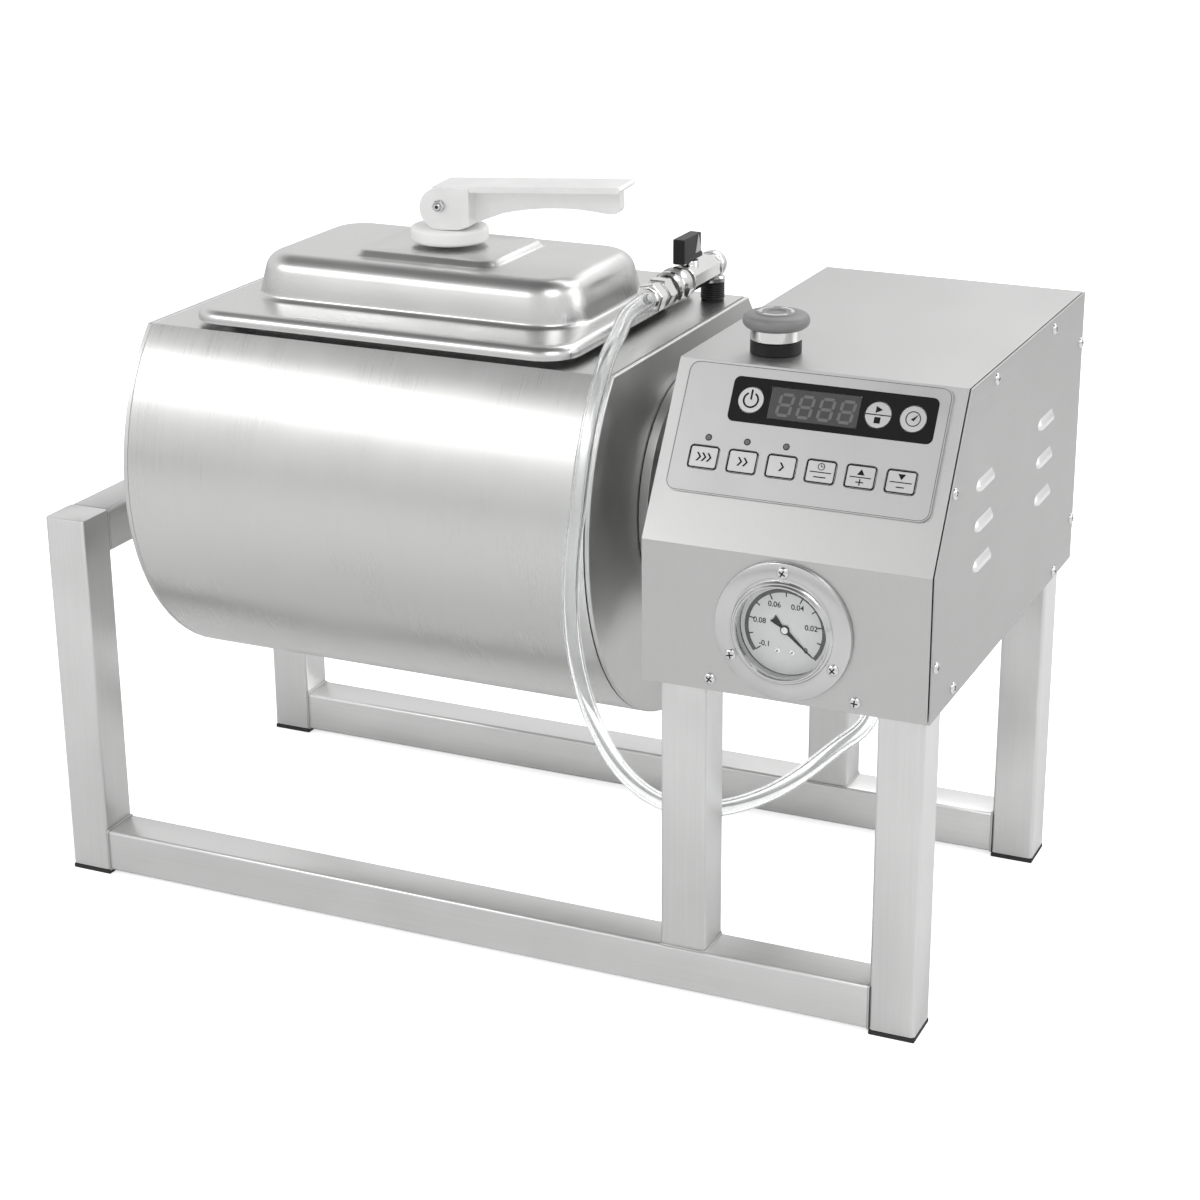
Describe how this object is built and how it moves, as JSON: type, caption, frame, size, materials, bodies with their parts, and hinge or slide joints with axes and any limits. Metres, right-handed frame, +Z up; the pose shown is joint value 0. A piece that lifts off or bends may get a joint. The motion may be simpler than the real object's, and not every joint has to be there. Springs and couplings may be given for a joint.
{
  "type": "vacuum meat tumbler",
  "caption": "Bench-top vacuum tumbler: stainless drum with cam-clamped lid and vacuum valve, on a tube stand with a control housing, gauge, stop button and hose.",
  "frame": {"origin": "centre of the bounding box's foot, on the surface that the stand rests on", "axes": "+X to the right along the drum's axis, from the bearing to the control housing; front is -Y; +Z up"},
  "size_m": [0.56, 0.3246, 0.4342],
  "materials": {
    "brushed_steel": "brushed",
    "satin_steel": "satin",
    "chrome": "polished",
    "cast_aluminium": "polished casting",
    "bronze": "machined",
    "black_rubber": "moulded",
    "silicone": "moulded",
    "white_nylon": "turned",
    "black_plastic": "moulded",
    "stop_grey": "moulded",
    "grey_membrane": "printed film",
    "key_membrane": "embossed film",
    "dark_window": "gloss",
    "gauge_glass": "clear",
    "dial_white": "printed",
    "clear_hose": "clear tube",
    "circuit_board": "lacquered",
    "black_steel": "painted"
  },
  "bodies": {
    "stand": {"housing_shell": "brushed_steel", "side_panel": "brushed_steel", "leg_front_left": "satin_steel", "leg_back_left": "satin_steel", "leg_front_right": "satin_steel", "leg_back_right": "satin_steel", "leg_front_middle": "satin_steel", "leg_back_middle": "satin_steel", "rail_front": "satin_steel", "rail_back": "satin_steel", "crossbar_left": "satin_steel", "housing_tray": "satin_steel", "power_supply": "satin_steel", "foot_front_left": "black_rubber", "foot_back_left": "black_rubber", "foot_front_right": "black_rubber", "foot_back_right": "black_rubber", "gauge_case": "chrome", "bearing_block": "cast_aluminium", "motor_bracket": "cast_aluminium", "gearbox": "cast_aluminium", "bearing_bush": "bronze", "hose_fitting": "bronze", "stop_body": "black_plastic", "cable_gland": "black_plastic", "control_overlay": "grey_membrane", "display_window": "dark_window", "gauge_lens": "gauge_glass", "gauge_dial": "dial_white", "vacuum_hose": "clear_hose", "control_board": "circuit_board", "drive_motor": "black_steel", "vacuum_pump": "black_steel"},
    "drum": {"drum_shell": "brushed_steel", "drum_end_left": "brushed_steel", "drum_end_right": "brushed_steel", "drive_hub": "black_steel", "mouth_collar": "brushed_steel", "valve_socket": "black_steel", "valve_body": "chrome", "hose_tail": "chrome"},
    "lid": {"lid": "brushed_steel", "lid_gasket": "silicone"},
    "clamp": {"clamp_stud": "chrome", "clamp_disc": "white_nylon", "pivot_pin": "chrome"},
    "clamp_lever": {"cam_lever": "cast_aluminium"},
    "valve_handle": {"valve_handle": "black_plastic"},
    "coupler_sleeve": {"coupler_sleeve": "chrome"},
    "gauge_pointer": {"gauge_pointer": "black_plastic"},
    "stop_button": {"stop_button": "stop_grey"},
    "key_power": {"key_power": "key_membrane"},
    "key_start": {"key_start": "key_membrane"},
    "key_vacuum": {"key_vacuum": "key_membrane"},
    "key_fast": {"key_fast": "key_membrane"},
    "key_medium": {"key_medium": "key_membrane"},
    "key_slow": {"key_slow": "key_membrane"},
    "key_time": {"key_time": "key_membrane"},
    "key_up": {"key_up": "key_membrane"},
    "key_down": {"key_down": "key_membrane"}
  },
  "joints": [
    {"name": "drum_spin", "type": "hinge", "parent": "stand", "child": "drum", "pos_m": [0, -0.019, 0.26], "axis": [-1, 0, 0], "continuous": true, "deforming": ["vacuum_hose"]},
    {"name": "lid_lift", "type": "slide", "parent": "drum", "child": "lid", "axis": [0, 0, 1], "range_m": [0, 0.06]},
    {"name": "clamp_turn", "type": "hinge", "parent": "lid", "child": "clamp", "pos_m": [-0.0715, -0.019, 0.3915], "axis": [0, 0, 1], "range_deg": [0, 78]},
    {"name": "lever_cam", "type": "hinge", "parent": "clamp", "child": "clamp_lever", "pos_m": [-0.0715, -0.019, 0.4174], "axis": [0.1132, -0.9936, 0], "range_deg": [0, 88]},
    {"name": "valve_turn", "type": "hinge", "parent": "drum", "child": "valve_handle", "pos_m": [0.0635, 0.0288, 0.39], "axis": [0, 0, 1], "range_deg": [0, 90]},
    {"name": "sleeve_slide", "type": "slide", "parent": "drum", "child": "coupler_sleeve", "axis": [0, 1, 0], "range_m": [0, 0.003], "stiffness_N_per_m": 800, "springref_m": -0.001},
    {"name": "stop_press", "type": "slide", "parent": "stand", "child": "stop_button", "axis": [0, 0, -1], "range_m": [0, 0.005], "stiffness_N_per_m": 1200, "springref_m": -0.001},
    {"name": "pointer_turn", "type": "hinge", "parent": "stand", "child": "gauge_pointer", "pos_m": [0.19525, -0.155, 0.233], "axis": [0, -1, 0], "range_deg": [0, 270], "stiffness_Nm_per_rad": 0.0002},
    {"name": "press_power", "type": "slide", "parent": "stand", "child": "key_power", "axis": [0, 0.8523, -0.523], "range_m": [0, 0.0005], "stiffness_N_per_m": 800, "springref_m": -0.0004},
    {"name": "press_start", "type": "slide", "parent": "stand", "child": "key_start", "axis": [0, 0.8523, -0.523], "range_m": [0, 0.0005], "stiffness_N_per_m": 800, "springref_m": -0.0004},
    {"name": "press_vacuum", "type": "slide", "parent": "stand", "child": "key_vacuum", "axis": [0, 0.8523, -0.523], "range_m": [0, 0.0005], "stiffness_N_per_m": 800, "springref_m": -0.0004},
    {"name": "press_fast", "type": "slide", "parent": "stand", "child": "key_fast", "axis": [0, 0.8523, -0.523], "range_m": [0, 0.0005], "stiffness_N_per_m": 800, "springref_m": -0.0004},
    {"name": "press_medium", "type": "slide", "parent": "stand", "child": "key_medium", "axis": [0, 0.8523, -0.523], "range_m": [0, 0.0005], "stiffness_N_per_m": 800, "springref_m": -0.0004},
    {"name": "press_slow", "type": "slide", "parent": "stand", "child": "key_slow", "axis": [0, 0.8523, -0.523], "range_m": [0, 0.0005], "stiffness_N_per_m": 800, "springref_m": -0.0004},
    {"name": "press_time", "type": "slide", "parent": "stand", "child": "key_time", "axis": [0, 0.8523, -0.523], "range_m": [0, 0.0005], "stiffness_N_per_m": 800, "springref_m": -0.0004},
    {"name": "press_up", "type": "slide", "parent": "stand", "child": "key_up", "axis": [0, 0.8523, -0.523], "range_m": [0, 0.0005], "stiffness_N_per_m": 800, "springref_m": -0.0004},
    {"name": "press_down", "type": "slide", "parent": "stand", "child": "key_down", "axis": [0, 0.8523, -0.523], "range_m": [0, 0.0005], "stiffness_N_per_m": 800, "springref_m": -0.0004}
  ]
}
